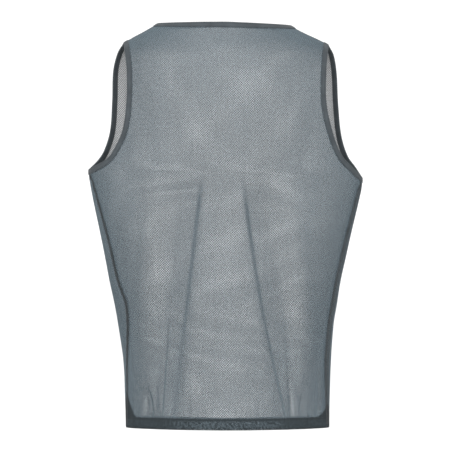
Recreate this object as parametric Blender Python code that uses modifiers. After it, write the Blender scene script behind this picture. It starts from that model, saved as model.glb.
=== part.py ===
# Training bib: a sleeveless pull-over of open mesh knit with bound neck and armholes.
# It keeps the filled-out shape it has when worn, with nobody in it.
# Metres, +Z up. The wearer faces +Y, so the wearer's left is -X.
# The origin is level with the neck ends of the shoulder seams, midway between the shoulders.
import math
from collections import namedtuple
from functools import lru_cache

import bmesh
import bpy
from mathutils import Vector
from mathutils.bvhtree import BVHTree
from mathutils.interpolate import poly_3d_calc

# Driving dimensions
wall = 0.0010              # mesh knit
seam_gap = 0.0003          # between two pieces at a seam
layer_gap = 0.0010         # between a panel and what lies on it
armhole_gap = 0.0012       # the same where the cloth turns most, round the armholes
binding_width = 0.0090
binding_wall = 0.0010
leg_steps = 2              # faces across each leg of a binding
station_run = 0.020        # longest run between two sections of an armhole binding
station_turn = math.radians(9)
sharp_corner = 1.02        # a strip is mitred where the cloth turns more than this
hem_height = 0.0200
hem_wall = 0.0010
hem_start = 0.0006         # the turned-up hem begins this far above the cloth's edge
hem_top_gap = 0.0010       # ends this far below its height
hem_end_gap = 0.0045       # and stops this far from the side seams
seam_wall = 0.0012
shoulder_seam_width = 0.0060
shoulder_seam_inset = 0.0025
shoulder_seam_clear = 0.0030     # between its ends and the bindings
side_seam_width = {"left": 0.0060, "right": 0.0090}
side_seam_inset = 0.0030
side_seam_clear = 0.0050         # below the armhole binding
side_seam_stop = 0.0012          # above the turned-up hem
end_run = {"shoulder": 0.002, "side": 0.004}     # shortest run at a seam's ends
first_side_row = 0.010     # below the underarm
tip_level = -0.0300        # shoulder seams end here at the armholes
underarm_level = -0.2485
hem_level = -0.6900        # hem edge at the sides
neck_rise = {"back": 0.0022, "front": 0.0079}    # neckline's middle above its ends
neck_lift = 0.0030         # neckline's left end above its right end
hem_sag = {"back": 0.0005, "front": 0.0090}      # hem's middle below its ends

columns = 34
shoulder_rows = 5
armhole_rows = 12
side_rows = 13
middle_share = 0.3         # how much closer the columns stand in a panel's middle
edge_pull = 3              # how fast the columns leave the line of a side edge

# Each row is the outline of the filled garment at one level.
# left, right: reach from the centre line; back, front: depth from the shoulder line;
# point: 1 is an ellipse, more is a leaner, more pointed side; droop: how far the right side
# hangs below the left; seam_left, seam_right: side seams, in from the outline, on the back.
Section = namedtuple(
    "Section", "level left right back front point droop seam_left seam_right")
sections = (
    Section(0.0160, 0.0990, 0.1110, 0.058, 0.065, 1.10, 0.0000, 0.0000, 0.0000),
    Section(0.0000, 0.1210, 0.1130, 0.064, 0.070, 1.10, 0.0010, 0.0000, 0.0000),
    Section(-0.0300, 0.1745, 0.1765, 0.080, 0.085, 1.10, 0.0035, 0.0000, 0.0000),
    Section(-0.0460, 0.1960, 0.1960, 0.087, 0.092, 1.10, 0.0040, 0.0000, 0.0000),
    Section(-0.0770, 0.2100, 0.2090, 0.095, 0.101, 1.12, 0.0050, 0.0000, 0.0000),
    Section(-0.1280, 0.2190, 0.2180, 0.101, 0.109, 1.14, 0.0070, 0.0000, 0.0000),
    Section(-0.1800, 0.2230, 0.2230, 0.101, 0.113, 1.16, 0.0100, 0.0000, 0.0000),
    Section(-0.2140, 0.2280, 0.2280, 0.099, 0.113, 1.18, 0.0120, 0.0000, 0.0000),
    Section(-0.2485, 0.2350, 0.2350, 0.097, 0.112, 1.20, 0.0138, 0.0000, 0.0000),
    Section(-0.2740, 0.2325, 0.2330, 0.097, 0.111, 1.20, 0.0120, 0.0050, 0.0045),
    Section(-0.3690, 0.2133, 0.2116, 0.098, 0.109, 1.18, 0.0085, 0.0120, 0.0070),
    Section(-0.4380, 0.2009, 0.1968, 0.100, 0.109, 1.15, 0.0070, 0.0160, 0.0075),
    Section(-0.4750, 0.1922, 0.1910, 0.102, 0.110, 1.13, 0.0060, 0.0205, 0.0080),
    Section(-0.5070, 0.1861, 0.1858, 0.104, 0.111, 1.12, 0.0050, 0.0180, 0.0080),
    Section(-0.5750, 0.1763, 0.1813, 0.109, 0.116, 1.09, 0.0020, 0.0070, 0.0090),
    Section(-0.6440, 0.1729, 0.1792, 0.113, 0.121, 1.07, 0.0000, 0.0040, 0.0060),
    Section(-0.7100, 0.1718, 0.1796, 0.116, 0.125, 1.06, 0.0000, 0.0030, 0.0040),
)

# Cut edges of the armholes: reach from the centre line on each panel.
Armhole = namedtuple("Armhole", "level back_left back_right front_left front_right")
armholes = (
    Armhole(-0.0300, 0.1745, 0.1765, 0.1745, 0.1765),
    Armhole(-0.0460, 0.1716, 0.1740, 0.1850, 0.1857),
    Armhole(-0.0770, 0.1680, 0.1715, 0.1930, 0.1912),
    Armhole(-0.1280, 0.1680, 0.1716, 0.1950, 0.1940),
    Armhole(-0.1800, 0.1750, 0.1836, 0.1987, 0.1996),
    Armhole(-0.2140, 0.1905, 0.1990, 0.2087, 0.2108),
    Armhole(-0.2310, 0.2040, 0.2160, 0.2190, 0.2235),
    Armhole(-0.2485, 0.2350, 0.2350, 0.2350, 0.2350),
)

# Drape folds: where each runs, how far it bows sideways, its half width and its height
# out of the panel at both ends. A trough has a negative height.
Fold = namedtuple(
    "Fold", "top_x top_level low_x low_level bow top_half low_half top_height low_height")
folds = {
    "back": (
        Fold(-0.036, -0.170, -0.098, -0.700, 0.002, 0.014, 0.020, -0.003, -0.007),
        Fold(0.030, -0.200, 0.112, -0.700, -0.009, 0.014, 0.020, -0.003, -0.007),
        Fold(-0.004, -0.230, 0.006, -0.700, 0.000, 0.024, 0.066, 0.003, 0.008),
        Fold(-0.099, -0.480, -0.114, -0.690, 0.000, 0.008, 0.010, -0.002, -0.005),
        Fold(-0.120, -0.290, -0.136, -0.640, 0.004, 0.022, 0.020, 0.002, 0.004),
        Fold(0.118, -0.300, 0.140, -0.690, -0.006, 0.024, 0.020, 0.002, 0.005),
    ),
    "front": (
        Fold(0.032, -0.190, 0.114, -0.700, -0.009, 0.015, 0.020, -0.003, -0.006),
        Fold(-0.038, -0.180, -0.101, -0.700, 0.002, 0.015, 0.020, -0.003, -0.006),
        Fold(0.002, -0.240, 0.008, -0.700, 0.000, 0.026, 0.064, 0.002, 0.007),
        Fold(0.128, -0.320, 0.138, -0.690, 0.000, 0.020, 0.018, 0.002, 0.005),
        Fold(-0.126, -0.340, -0.134, -0.690, 0.003, 0.018, 0.020, 0.002, 0.004),
    ),
}
fold_end_fade = 0.090      # a fold starts and ends over this length
edge_fade = 0.045          # and dies out this far from a side edge

colours = {
    "mesh_knit": (0.36, 0.39, 0.41, 1.0),
    "binding_knit": (0.085, 0.098, 0.105, 1.0),
}
roughness = {"mesh_knit": 0.85, "binding_knit": 0.80}


@lru_cache(maxsize=None)
def read(rows, column, level):
    """A column of a table at any level, on a smooth curve through its rows."""
    values = [getattr(row, column) for row in rows]
    levels = [row.level for row in rows]
    slopes = []
    for i in range(len(rows)):
        before, after = max(i - 1, 0), min(i + 1, len(rows) - 1)
        slopes.append((values[after] - values[before]) / (levels[after] - levels[before]))
    i = 0
    while i < len(rows) - 2 and level < levels[i + 1]:
        i += 1
    step = levels[i + 1] - levels[i]
    t = min(max((level - levels[i]) / step, 0.0), 1.0)
    return (values[i] * (2 * t**3 - 3 * t**2 + 1) + slopes[i] * step * (t**3 - 2 * t**2 + t)
            + values[i + 1] * (3 * t**2 - 2 * t**3) + slopes[i + 1] * step * (t**3 - t**2))


def ease(t):
    """0 to 1 with soft ends."""
    t = min(max(t, 0.0), 1.0)
    return t * t * (3 - 2 * t)


def outline_point(side, level, angle):
    """Point of the plain outline. Angle 0 is its far left, pi its far right; outside that
    range the outline goes on round the corner, on the other side's depth."""
    left, right = read(sections, "left", level), read(sections, "right", level)
    over_corner = angle < 0 or angle > math.pi
    other = {"back": "front", "front": "back"}[side]
    depth_side = other if over_corner else side
    depth = read(sections, depth_side, level)
    reach = abs(math.sin(angle)) ** read(sections, "point", level)
    y = depth * reach if depth_side == "front" else -depth * reach
    x = (right - left) / 2 - (left + right) / 2 * math.cos(angle)
    drop = read(sections, "droop", level) * (1 - math.cos(angle)) / 2
    return Vector((x, y, level - drop))


def outward(side, level, angle):
    """Level direction out of the outline."""
    step = 0.004
    along = outline_point(side, level, angle + step) - outline_point(side, level, angle - step)
    turn = 1 if side == "back" else -1
    return Vector((along.y, -along.x, 0.0)).normalized() * turn


def fold_height(side, x, level):
    """How far the drape folds lift this spot."""
    height = 0.0
    for fold in folds[side]:
        length = fold.top_level - fold.low_level
        t = (fold.top_level - level) / length
        if t <= 0:
            continue
        share = min(t, 1.0)
        centre = fold.top_x + (fold.low_x - fold.top_x) * share + fold.bow * 4 * share * (1 - share)
        half = fold.top_half + (fold.low_half - fold.top_half) * share
        tall = fold.top_height + (fold.low_height - fold.top_height) * share
        tall *= ease(t * length / fold_end_fade)
        height += tall * math.exp(-((x - centre) / half) ** 2)
    return height


def angle_at(reach, level, hand):
    """Angle where the outline is this far from the centre line."""
    left, right = read(sections, "left", level), read(sections, "right", level)
    middle, half = (right - left) / 2, (left + right) / 2
    x = -reach if hand == "left" else reach
    return math.acos(min(max((middle - x) / half, -1.0), 1.0))


def step_in(side, level, angle, distance, direction):
    """Angle of the point that lies this far along the outline from another."""
    start = outline_point(side, level, angle)
    near, far = 0.0, 0.6
    for _ in range(40):
        middle = (near + far) / 2
        if (outline_point(side, level, angle + direction * middle) - start).length < distance:
            near = middle
        else:
            far = middle
    return angle + direction * near


def seam_angle(side, level, hand):
    """Angle of the seam line between back and front, seen from this side's panel."""
    inset = max(read(sections, "seam_" + hand, level), 0.0) if level < underarm_level else 0.0
    reach = read(sections, hand, level) - inset
    angle = angle_at(reach, level, hand)
    if side == "back":
        return angle
    return -angle if hand == "left" else 2 * math.pi - angle


@lru_cache(maxsize=None)
def seam_edge(side, level, hand):
    """The panel's own edge at a seam: set back so that both walls clear each other."""
    reach = 0.010
    here = outline_point(side, level, seam_angle(side, level, hand))
    inward = {"left": 1, "right": -1}[hand]
    arms = []
    for panel in ("back", "front"):
        angle = seam_angle(panel, level, hand)
        angle = step_in(panel, level, angle, reach, inward)
        arms.append(outline_point(panel, level, angle) - here)
    half_turn = arms[0].angle(arms[1]) / 2
    set_back = (seam_gap / 2 + wall * math.cos(half_turn)) / math.sin(half_turn)
    return step_in(side, level, seam_angle(side, level, hand), set_back, inward)


def edge_angle(side, level, hand):
    """Angle of a panel's side edge: shoulder seam, armhole or side seam."""
    if underarm_level < level < tip_level:
        return angle_at(read(armholes, side + "_" + hand, level), level, hand)
    return seam_edge(side, level, hand)


def row_levels():
    """Levels of the grid rows, closer together at the ends of the armholes."""
    levels = [tip_level * i / shoulder_rows for i in range(shoulder_rows)]
    middle = (tip_level + underarm_level) / 2
    half = (tip_level - underarm_level) / 2
    levels += [middle + half * math.cos(math.pi * i / armhole_rows) for i in range(armhole_rows)]
    levels += [underarm_level, underarm_level - first_side_row]
    hem_top = hem_level + hem_height
    start = levels[-1]
    levels += [start + (hem_top - start) * (i + 1) / side_rows for i in range(side_rows)]
    levels.append(hem_level)
    return levels


def panel_point(side, level, across):
    """Point of a panel's outer face; across runs 0 to 1 from its left edge to its right."""
    spread = across + middle_share * math.sin(2 * math.pi * across) / (2 * math.pi)
    first, last = edge_angle(side, level, "left"), edge_angle(side, level, "right")
    angle = (math.pi * spread + first * (1 - across) ** edge_pull
             + (last - math.pi) * across ** edge_pull)
    in_middle = math.sin(math.pi * across) ** 2
    rise = neck_rise[side] * in_middle + neck_lift * (1 - across) ** 2
    rise *= ease(1 - level / tip_level)
    sag = hem_sag[side] * ease((underarm_level - level) / (underarm_level - hem_level)) * in_middle
    point = outline_point(side, level + rise, angle)
    point.z -= sag
    edges = (outline_point(side, level, first), outline_point(side, level, last))
    from_edge = min((point - edge).length for edge in edges)
    lift = fold_height(side, point.x, level) * ease(from_edge / edge_fade)
    return point + outward(side, level + rise, angle) * lift


def material(name):
    """Plain finish for one kind of cloth."""
    made = bpy.data.materials.get(name)
    if made is None:
        made = bpy.data.materials.new(name)
        made.use_nodes = True
        shader = made.node_tree.nodes["Principled BSDF"]
        shader.inputs["Base Color"].default_value = colours[name]
        shader.inputs["Roughness"].default_value = roughness[name]
        shader.inputs["Metallic"].default_value = 0.0
    return made


def add_object(name, bm, finish):
    """Put a finished bmesh into the bib's collection."""
    mesh = bpy.data.meshes.new(name)
    bm.to_mesh(mesh)
    bm.free()
    mesh.shade_smooth()
    made = bpy.data.objects.new(name, mesh)
    mesh.materials.append(material(finish))
    bpy.data.collections["training_bib"].objects.link(made)
    return made


def panel_surface(side):
    """Open grid shaped to a panel's outer face, facing out."""
    levels = row_levels()
    rows = len(levels) - 1
    bm = bmesh.new()
    bmesh.ops.create_grid(bm, x_segments=columns, y_segments=rows, size=1.0)
    for vert in bm.verts:
        across = (vert.co.x + 1) / 2
        row = round((1 - vert.co.y) / 2 * rows)
        vert.co = panel_point(side, levels[row], across)
    bm.normal_update()
    middle = min(bm.faces, key=lambda face: abs(face.calc_center_median().x))
    facing = middle.normal.y if side == "front" else -middle.normal.y
    if facing < 0:
        bmesh.ops.reverse_faces(bm, faces=bm.faces)
    bm.normal_update()
    return bm


def build_panel(side):
    """A panel is its outer face with the wall turned inward."""
    made = add_object(side + "_panel", panel_surface(side), "mesh_knit")
    solidify = made.modifiers.new("wall", "SOLIDIFY")
    solidify.thickness = wall
    solidify.offset = -1.0
    solidify.use_even_offset = False
    return made


class Cloth:
    """Both panels' outer faces, to lay strips on."""

    def __init__(self):
        self.surfaces = {side: panel_surface(side) for side in ("back", "front")}
        self.trees = {side: BVHTree.FromBMesh(bm) for side, bm in self.surfaces.items()}
        for bm in self.surfaces.values():
            bm.faces.ensure_lookup_table()

    def nearest(self, point, side=None):
        """Closest point of one panel, or of both, with the way out of it."""
        sides = (side,) if side else ("back", "front")
        found = [self.trees[name].find_nearest(point) + (name,) for name in sides]
        place, _, index, _, name = min(found, key=lambda hit: hit[3])
        corners = self.surfaces[name].faces[index].verts
        shares = poly_3d_calc([vert.co for vert in corners], place)
        out = sum((vert.normal * share for vert, share in zip(corners, shares)), Vector())
        return place, out.normalized()

    def lay(self, line, inward_hint, width, side=None, closed=False):
        """Frames along a line on the cloth: place, way into the panel, way out of the cloth."""
        frames = []
        count = len(line)
        for i, point in enumerate(line):
            before = line[(i - 1) % count] if closed else line[max(i - 1, 0)]
            after = line[(i + 1) % count] if closed else line[min(i + 1, count - 1)]
            along = (after - before).normalized()
            normals = [self.nearest(spot, side)[1]
                       for spot in (point.lerp(before, 0.2), point.lerp(after, 0.2))]
            out = (normals[0] + normals[1]).normalized()
            corner = 1 / math.cos(normals[0].angle(normals[1]) / 2)
            if corner < sharp_corner:
                out = self.nearest(point, side)[1]
            into = out.cross(along).normalized()
            if into.dot(inward_hint(point)) < 0:
                into = -into
            target = self.nearest(point + into * width, side)[0]
            frames.append((point, (target - point).normalized(), out, corner))
        return frames

    def spot(self, frame, into, out, side=None):
        """Point this far in from the line, on the cloth, moved out of it."""
        point, way_in, way_out, corner = frame
        point = point + way_in * into
        if into > 0:
            point, straight_out = self.nearest(point, side)
            if corner < sharp_corner:
                return point + straight_out * out
        return point + way_out * out * corner


def sweep(cloth, name, frames, profile, finish, closed=False, side=None):
    """A profile of (into, out) offsets carried along frames: a closed body."""
    count, sides = len(frames), len(profile)
    bm = bmesh.new()
    runs = count if closed else count - 1
    bmesh.ops.create_grid(bm, x_segments=runs, y_segments=sides, size=1.0)
    for vert in bm.verts:
        place = round((vert.co.x + 1) / 2 * runs) % count
        corner = round((vert.co.y + 1) / 2 * sides) % sides
        vert.co = cloth.spot(frames[place], *profile[corner], side)
    bmesh.ops.remove_doubles(bm, verts=bm.verts, dist=0.00001)
    if not closed:
        ends = [edge for edge in bm.edges if edge.is_boundary]
        bmesh.ops.holes_fill(bm, edges=ends, sides=sides)
    bmesh.ops.recalc_face_normals(bm, faces=bm.faces)
    return add_object(name, bm, finish)


def binding_profile(gap):
    """A strip folded over the edge: outer leg, turn and inner leg, clear of the wall."""
    top, over = gap, gap + binding_wall
    under, low = -wall - gap, -wall - gap - binding_wall
    slot, turn = -seam_gap, -seam_gap - binding_wall
    soft = binding_wall * 0.4
    steps = [binding_width * (i + 1) / leg_steps for i in range(leg_steps)]
    outer = [(into, over) for into in steps[::-1]]
    turned = [(turn + soft, over), (turn, over - soft), (turn, low + soft), (turn + soft, low)]
    inner = [(into, low) for into in steps] + [(into, under) for into in steps[::-1]]
    return outer + turned + inner + [(slot, under), (slot, top)] + [(into, top) for into in steps]


def strip_profile(first, last, thickness):
    """A flat strip lying inside the cloth, between two distances from the edge."""
    top = -wall - layer_gap
    return ((first, top), (last, top), (last, top - thickness), (first, top - thickness))


def edge_line(side, hand, first, last):
    """Points of a panel's side edge between two levels, top to bottom."""
    across = 0.0 if hand == "left" else 1.0
    return [panel_point(side, level, across) for level in row_levels()
            if last - 1e-6 <= level <= first + 1e-6]


def build_neck_binding(cloth):
    back = [panel_point("back", 0.0, i / columns) for i in range(columns + 1)]
    front = [panel_point("front", 0.0, 1 - i / columns) for i in range(columns + 1)]
    corners = ((back[-1] + front[0]) / 2, (front[-1] + back[0]) / 2)
    line = back[1:-1] + [corners[0]] + front[1:-1] + [corners[1]]
    frames = cloth.lay(line, lambda point: Vector((0, 0, -1)), binding_width, closed=True)
    profile = binding_profile(layer_gap)
    return sweep(cloth, "neck_binding", frames, profile, "binding_knit", closed=True)


def build_armhole_binding(cloth, hand):
    back = edge_line("back", hand, tip_level, underarm_level)
    front = edge_line("front", hand, tip_level, underarm_level)[::-1]
    underarm, tip = (back[-1] + front[0]) / 2, (back[0] + front[-1]) / 2
    line = refine(cloth, back[1:-1] + [underarm] + front[1:-1] + [tip])
    middle = sum(line, Vector()) / len(line)
    frames = cloth.lay(line, lambda point: point - middle, binding_width, closed=True)
    profile = binding_profile(armhole_gap)
    return sweep(cloth, "armhole_binding_" + hand, frames, profile, "binding_knit", closed=True)


def refine(cloth, ring):
    """The same ring with more points where the cloth turns or a run is long."""
    for _ in range(2):
        finer = []
        for before, after in zip(ring, ring[1:] + ring[:1]):
            finer.append(before)
            turn = cloth.nearest(before)[1].angle(cloth.nearest(after)[1])
            if turn > station_turn or (after - before).length > station_run:
                finer.append((before + after) / 2)
        ring = finer
    return ring


def build_shoulder_seam(cloth, hand):
    """The allowance lies inside the back, between the two bindings."""
    line = edge_line("back", hand, 0.0, tip_level)
    clear = binding_width + shoulder_seam_clear
    start = walk(line, clear)
    end = walk(line[::-1], clear)
    reach = clear + end_run["shoulder"]
    inner = [point for point in line[1:-1]
             if min((point - line[0]).length, (point - line[-1]).length) > reach]
    line = [start] + inner + [end]
    frames = cloth.lay(line, lambda point: Vector((0, -1, 0)), shoulder_seam_width, side="back")
    profile = strip_profile(
        shoulder_seam_inset, shoulder_seam_inset + shoulder_seam_width, seam_wall)
    return sweep(cloth, "shoulder_seam_" + hand, frames, profile, "binding_knit", side="back")


def walk(line, distance):
    """Point this far along a line from its start."""
    for before, after in zip(line, line[1:]):
        run = (after - before).length
        if distance <= run:
            return before.lerp(after, distance / run)
        distance -= run
    return line[-1]


def build_side_seam(cloth, hand):
    """The allowance lies inside the back, from the binding down to the turned-up hem."""
    line = edge_line("back", hand, underarm_level, hem_level + hem_height)
    top = walk(line, binding_width + side_seam_clear)
    bottom = walk(line[::-1], side_seam_stop)
    reach = end_run["side"]
    inner = [point for point in line if top.z - reach > point.z > bottom.z + reach]
    line = [top] + inner + [bottom]
    width = side_seam_width[hand]
    toward = Vector((1, 0, 0)) if hand == "left" else Vector((-1, 0, 0))
    frames = cloth.lay(line, lambda point: toward, width, side="back")
    profile = strip_profile(side_seam_inset, side_seam_inset + width, seam_wall)
    return sweep(cloth, "side_seam_" + hand, frames, profile, "binding_knit", side="back")


def build_hem(cloth, side):
    """The lowest part of each panel is turned up against its inside."""
    line = [panel_point(side, hem_level, i / columns) for i in range(columns + 1)]
    line = [walk(line, hem_end_gap)] + line[1:-1] + [walk(line[::-1], hem_end_gap)]
    frames = cloth.lay(line, lambda point: Vector((0, 0, 1)), hem_height, side=side)
    profile = strip_profile(hem_start, hem_height - hem_top_gap, hem_wall)
    return sweep(cloth, "hem_" + side, frames, profile, "mesh_knit", side=side)


def build_bib():
    for old in list(bpy.data.objects):
        bpy.data.objects.remove(old, do_unlink=True)
    group = bpy.data.collections.new("training_bib")
    bpy.context.scene.collection.children.link(group)
    cloth = Cloth()
    for side in ("back", "front"):
        build_panel(side)
        build_hem(cloth, side)
    build_neck_binding(cloth)
    for hand in ("left", "right"):
        build_armhole_binding(cloth, hand)
        build_shoulder_seam(cloth, hand)
        build_side_seam(cloth, hand)


build_bib()
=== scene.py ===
# Training bib of open mesh knit, worn shape, seen from its back
import math

import bpy
import numpy as np
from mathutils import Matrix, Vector
from mathutils.bvhtree import BVHTree
from mathutils.interpolate import poly_3d_calc


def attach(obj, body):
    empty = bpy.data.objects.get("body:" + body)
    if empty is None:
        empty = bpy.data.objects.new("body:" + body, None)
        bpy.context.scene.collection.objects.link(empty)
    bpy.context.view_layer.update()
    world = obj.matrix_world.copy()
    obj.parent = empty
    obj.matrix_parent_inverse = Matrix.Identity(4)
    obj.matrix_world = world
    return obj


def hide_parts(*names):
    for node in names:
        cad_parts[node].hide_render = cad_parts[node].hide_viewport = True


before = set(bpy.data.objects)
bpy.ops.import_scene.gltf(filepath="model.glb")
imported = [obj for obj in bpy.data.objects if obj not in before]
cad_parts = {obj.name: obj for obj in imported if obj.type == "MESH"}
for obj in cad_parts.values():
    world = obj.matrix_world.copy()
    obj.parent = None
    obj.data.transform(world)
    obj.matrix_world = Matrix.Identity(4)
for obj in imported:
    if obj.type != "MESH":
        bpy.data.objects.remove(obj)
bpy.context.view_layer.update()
bpy.ops.object.select_all(action="DESELECT")
print("frame loaded:", len(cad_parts), "nodes")

# The bib's form, as its solids have it: metres, +Z up, back panel towards -Y
bib = {
    "tipLevel": -0.0300,  # the shoulder seams end here
    "underarmLevel": -0.2485,
    "hemLevel": -0.6900,
    "neckRise": {"back": 0.0022, "front": 0.0079},
    "neckLift": 0.0030,  # the neckline's left end above its right end
    "hemSag": {"back": 0.0005, "front": 0.0090},
    "middleShare": 0.3,  # columns stand closer in a panel's middle
    "edgePull": 3,  # and leave its side edges at once
    "edgeFade": 0.045,  # swells and long creases start this far from a side edge,
    "troughFade": 0.020,  # small creases here,
    "rippleFade": 0.030,  # ripples here
    "puckerFade": 0.003,  # and puckers here
    "shoulderCalm": 0.050,  # ripples start this far below the shoulders
    "wall": 0.0012,
    "seamGap": 0.0001,
    "seamArm": 0.010,  # the turn at a side seam is read over this length
    "turnStep": 0.004,  # and the way outwards over this angle
    "widestStep": 0.6,  # a point at a given distance is sought up to this angle
    "halvings": 34,
}
panels = {
    "columns": 248,
    "shoulderRows": 10,
    "armholeRows": 56,
    "sideRows": 82,
    "crowding": 0.5,  # rows stand closer at both ends of the armholes
}

# The panel's lower end, turned up inside with its raw edge overlocked
hemBand = {
    "height": 0.0185,
    "wall": 0.0008,
    "sheetShare": 0.8,  # the turned-up layer fills this much of its wall
    "gap": 0.0003,
    "ends": (0.004, 0.996),
    "turnSteps": 5,
    "turnOut": 0.0007,  # how far the fold stands below the panel's edge
    "turnStart": 0.0002,
    "rows": 12,
    "endRise": {"left": 0.034, "right": 0.026},  # the turned-up layer is bunched at its ends
    "endReach": {"left": 0.026, "right": 0.034},
    "riseShare": {"back": 1.0, "front": 0.6},
    "wander": 0.0006,  # its raw edge is uneven by this much
    "wanderWaves": (95, 37),
    "overlock": 0.0058,
    "overlockWall": 0.0011,
    "overlockStart": 0.0002,
    "overlockStep": 0.0009,
    "stitchDrops": (0.0012, 0.0050),
    "stitchLift": 0.00012,
}


def namedTable(columns, rows):
    return dict(zip(columns.split(), np.array(rows, dtype=float).T))


# Outline at each level: reach to both sides, depth to back and front, how lean the sides are,
# how far the right side droops, and how far in the side seams lie on the back
sections = namedTable("level left right back front point droop seamLeft seamRight", (
    (0.0160, 0.0990, 0.1110, 0.058, 0.065, 1.10, 0.0000, 0.0000, 0.0000),
    (0.0000, 0.1210, 0.1130, 0.064, 0.070, 1.10, 0.0010, 0.0000, 0.0000),
    (-0.0300, 0.1745, 0.1765, 0.080, 0.085, 1.10, 0.0035, 0.0000, 0.0000),
    (-0.0460, 0.1960, 0.1960, 0.087, 0.092, 1.10, 0.0040, 0.0000, 0.0000),
    (-0.0770, 0.2100, 0.2090, 0.095, 0.101, 1.12, 0.0050, 0.0000, 0.0000),
    (-0.1280, 0.2190, 0.2180, 0.101, 0.109, 1.14, 0.0070, 0.0000, 0.0000),
    (-0.1800, 0.2230, 0.2230, 0.101, 0.113, 1.16, 0.0100, 0.0000, 0.0000),
    (-0.2140, 0.2280, 0.2280, 0.099, 0.113, 1.18, 0.0120, 0.0000, 0.0000),
    (-0.2485, 0.2350, 0.2350, 0.097, 0.112, 1.20, 0.0138, 0.0000, 0.0000),
    (-0.2740, 0.2325, 0.2330, 0.097, 0.111, 1.20, 0.0120, 0.0050, 0.0045),
    (-0.3690, 0.2133, 0.2116, 0.098, 0.109, 1.18, 0.0085, 0.0120, 0.0070),
    (-0.4380, 0.2009, 0.1968, 0.100, 0.109, 1.15, 0.0070, 0.0160, 0.0075),
    (-0.4750, 0.1922, 0.1910, 0.102, 0.110, 1.13, 0.0060, 0.0205, 0.0080),
    (-0.5070, 0.1861, 0.1858, 0.104, 0.111, 1.12, 0.0050, 0.0180, 0.0080),
    (-0.5750, 0.1763, 0.1813, 0.109, 0.116, 1.09, 0.0020, 0.0070, 0.0090),
    (-0.6440, 0.1729, 0.1792, 0.113, 0.121, 1.07, 0.0000, 0.0040, 0.0060),
    (-0.7100, 0.1718, 0.1796, 0.116, 0.125, 1.06, 0.0000, 0.0030, 0.0040),
))

# Cut edges of the armholes: reach from the centre line on each panel
armholes = namedTable("level backLeft backRight frontLeft frontRight", (
    (-0.0300, 0.1745, 0.1765, 0.1745, 0.1765),
    (-0.0460, 0.1716, 0.1740, 0.1850, 0.1857),
    (-0.0770, 0.1680, 0.1715, 0.1930, 0.1912),
    (-0.1280, 0.1680, 0.1716, 0.1950, 0.1940),
    (-0.1800, 0.1750, 0.1836, 0.1987, 0.1996),
    (-0.2140, 0.1905, 0.1990, 0.2087, 0.2108),
    (-0.2310, 0.2040, 0.2160, 0.2190, 0.2235),
    (-0.2485, 0.2350, 0.2350, 0.2350, 0.2350),
))

# The two long creases beside the raised middle, where the solids have their folds: line, bow,
# side of the middle, how wide the steep flank is at both ends, how deep it falls, how far it
# sinks on outside it, over what length, and how soon the crease starts
creaseColumns = ("topX topLevel lowX lowLevel bow inner topSteep lowSteep topDrop lowDrop "
                 "topSink lowSink topTail lowTail topFade")
creases = {
    "back": (
        (-0.045, -0.24, -0.099, -0.7, 0, 1, 0.0119, 0.013, 0.0128, 0.0026, 0.0068, 0.0022,
         0.025, 0.03, 0.065),
        (0.0338, -0.235, 0.115, -0.7, -0.0085, -1, 0.0117, 0.008, 0.0112, 0.0036, 0.007, 0.0024,
         0.025, 0.03, 0.09),
    ),
    "front": (
        (0.031, -0.19, 0.113, -0.7, -0.009, -1, 0.016, 0.022, 0.003, 0.0045, 0.003, 0.004,
         0.022, 0.028, 0.11),
        (-0.038, -0.18, -0.099, -0.7, 0, 1, 0.016, 0.022, 0.003, 0.0045, 0.003, 0.004,
         0.022, 0.028, 0.11),
    ),
}
creaseReach = {"start": 0.028, "over": 0.055}  # outside it the panel comes back to its form

# Small creases. Each falls steeply on one side and comes back slowly on the other: line, bow,
# side of the steep flank, widths of both flanks and depth at both ends, how soon it starts
# and ends
troughFlanks = {"early": 0.08, "round": 0.15}
troughColumns = ("topX topLevel lowX lowLevel bow steepSide topSteep lowSteep topBroad lowBroad "
                 "topDepth lowDepth topFade lowFade")
troughs = {
    "back": (
        (-0.0985, -0.48, -0.113, -0.69, 0, 1, 0.0022, 0.004, 0.009, 0.012, 0.001, 0.0045, 0.06, 0.03),
        (-0.1425, -0.605, -0.129, -0.68, 0.003, 1, 0.004, 0.005, 0.006, 0.007, 0.003, 0.005, 0.03, 0.02),
        (-0.133, -0.622, -0.14, -0.68, -0.002, -1, 0.004, 0.005, 0.006, 0.006, 0.003, 0.0045, 0.02, 0.02),
        (-0.125, -0.6, -0.118, -0.68, 0.001, 1, 0.004, 0.005, 0.007, 0.009, 0.0015, 0.003, 0.04, 0.02),
        (0.109, -0.575, 0.116, -0.68, 0, 1, 0.0024, 0.003, 0.008, 0.01, 0.001, 0.0024, 0.05, 0.02),
        (0.123, -0.61, 0.134, -0.68, 0, -1, 0.004, 0.006, 0.01, 0.012, 0.001, 0.003, 0.03, 0.02),
        (0.156, -0.56, 0.161, -0.68, 0.002, 1, 0.004, 0.006, 0.01, 0.012, 0.001, 0.003, 0.05, 0.02),
    ),
    "front": (
        (0.105, -0.49, 0.118, -0.69, 0, -1, 0.0026, 0.004, 0.01, 0.012, 0.001, 0.0036, 0.06, 0.03),
        (0.138, -0.61, 0.129, -0.68, 0.002, -1, 0.004, 0.005, 0.007, 0.008, 0.002, 0.004, 0.03, 0.02),
        (-0.115, -0.56, -0.126, -0.68, 0, 1, 0.003, 0.004, 0.009, 0.011, 0.001, 0.0034, 0.05, 0.02),
        (-0.141, -0.62, -0.136, -0.68, 0.001, 1, 0.004, 0.005, 0.006, 0.007, 0.0016, 0.0036, 0.02, 0.02),
    ),
}

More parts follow.
